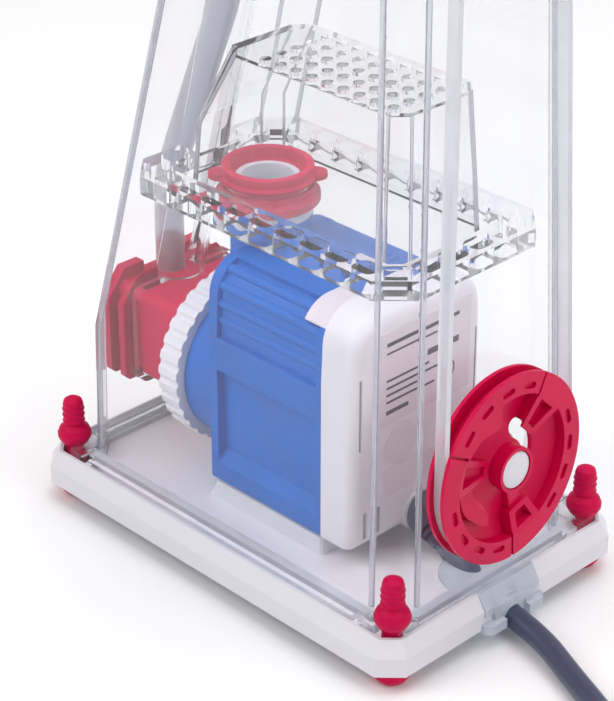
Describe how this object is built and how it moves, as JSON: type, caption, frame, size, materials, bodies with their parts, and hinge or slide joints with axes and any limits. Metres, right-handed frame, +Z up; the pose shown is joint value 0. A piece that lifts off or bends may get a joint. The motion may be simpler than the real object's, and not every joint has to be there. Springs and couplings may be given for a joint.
{
  "type": "protein skimmer",
  "caption": "In-sump aquarium protein skimmer: clear tapered body over a blue needle-wheel pump, red silicone intake and plugs, belt-driven red outlet wheel, white base.",
  "frame": {"origin": "bottom centre of the bounding box without the cord, on the surface the feet stand on", "axes": "+Z up, +X towards the outlet end with the valve wheel, -X the intake end"},
  "size_m": [0.416, 0.1643, 0.4631],
  "materials": {
    "white_plastic": "satin moulded",
    "clear_silicone": "translucent",
    "red_silicone": "satin",
    "clear_acrylic": "polished clear",
    "red_plastic": "satin moulded",
    "blue_plastic": "satin moulded",
    "black_rubber": "satin",
    "ceramic": "polished",
    "magnet": "sealed ferrite",
    "core_steel": "laminated",
    "copper": "enamelled windings",
    "label": "printed film",
    "grey_plastic": "satin moulded",
    "hose_silicone": "translucent",
    "foam": "open-cell foam",
    "grey_silicone": "translucent",
    "pin_brass": "plated"
  },
  "bodies": {
    "skimmer": {"base_tray": "white_plastic", "base_gasket": "clear_silicone", "foot_plugs": "red_silicone", "body_shell": "clear_acrylic", "diffuser_plate": "clear_acrylic", "bubble_dome": "clear_acrylic", "motor_housing": "blue_plastic", "motor_end_cap": "white_plastic", "pump_chamber": "blue_plastic", "rotor_plate": "white_plastic", "front_bush": "black_rubber", "rear_bush": "black_rubber", "chamber_oring": "black_rubber", "stator_core": "core_steel", "stator_coil": "copper", "intake_box": "red_silicone", "intake_collar": "red_silicone", "rating_label": "label", "small_stickers": "label", "pump_pedestal": "grey_plastic", "outlet_tube": "grey_plastic", "outlet_collar": "red_silicone", "wheel_axle": "white_plastic", "axle_nut": "white_plastic", "drive_belt": "clear_silicone", "knob_axle": "white_plastic", "knob_bracket": "clear_acrylic", "bracket_screws": "white_plastic", "air_hose": "hose_silicone", "silencer_body": "clear_acrylic", "silencer_foam": "foam", "silencer_cap": "red_plastic", "silencer_clip": "clear_acrylic", "motor_strain_relief": "black_rubber", "pump_lead": "black_rubber", "cord_gland": "grey_silicone", "power_cord": "black_rubber", "cord_coil": "black_rubber", "plug_body": "black_rubber", "plug_pins": "pin_brass"},
    "rotor": {"rotor_shaft": "ceramic", "rotor_magnet": "magnet", "needle_wheel": "white_plastic"},
    "lock_ring": {"lock_ring": "white_plastic"},
    "neck_ring": {"neck_ring": "red_plastic"},
    "cup": {"collection_cup": "clear_acrylic", "cup_riser": "clear_acrylic", "cup_oring": "black_rubber", "drain_barb": "clear_acrylic"},
    "drain_cap": {"drain_cap": "red_silicone"},
    "lid": {"cup_lid": "clear_acrylic", "lid_handle": "red_plastic"},
    "valve_wheel": {"valve_wheel": "red_plastic"},
    "level_knob": {"level_knob": "red_plastic"},
    "air_valve": {"air_valve_knob": "red_plastic"}
  },
  "joints": [
    {"name": "rotor_spin", "type": "hinge", "parent": "skimmer", "child": "rotor", "pos_m": [-0.01, 0, 0.0615], "axis": [1, 0, 0], "continuous": true},
    {"name": "lock_ring_turn", "type": "hinge", "parent": "skimmer", "child": "lock_ring", "pos_m": [-0.049, 0, 0.0615], "axis": [1, 0, 0], "range_deg": [0, 25]},
    {"name": "neck_ring_turn", "type": "hinge", "parent": "skimmer", "child": "neck_ring", "pos_m": [0.025, 0, 0.3425], "axis": [0, 0, 1], "range_deg": [0, 20]},
    {"name": "cup_lift", "type": "slide", "parent": "skimmer", "child": "cup", "axis": [0, 0, 1], "range_m": [0, 0.03]},
    {"name": "drain_cap_pull", "type": "slide", "parent": "cup", "child": "drain_cap", "axis": [-0.6428, 0.766, 0], "range_m": [0, 0.012]},
    {"name": "lid_lift", "type": "slide", "parent": "cup", "child": "lid", "axis": [0, 0, 1], "range_m": [0, 0.03]},
    {"name": "level_knob_turn", "type": "hinge", "parent": "skimmer", "child": "level_knob", "pos_m": [0.07967, 0, 0.29983], "axis": [0.9993, 0, 0.0384], "range_deg": [-27, 136]},
    {"name": "valve_wheel_turn", "type": "hinge", "parent": "skimmer", "child": "valve_wheel", "pos_m": [0.0885, 0, 0.0699], "axis": [0.9993, 0, 0.0384], "range_deg": [-20, 101]},
    {"name": "air_valve_turn", "type": "hinge", "parent": "skimmer", "child": "air_valve", "pos_m": [-0.043, 0, 0.3795], "axis": [0, 0, 1], "range_deg": [0, 270]}
  ],
  "couplings": [
    {"joint": "valve_wheel_turn", "follows": "level_knob_turn", "ratio": 0.7353}
  ]
}
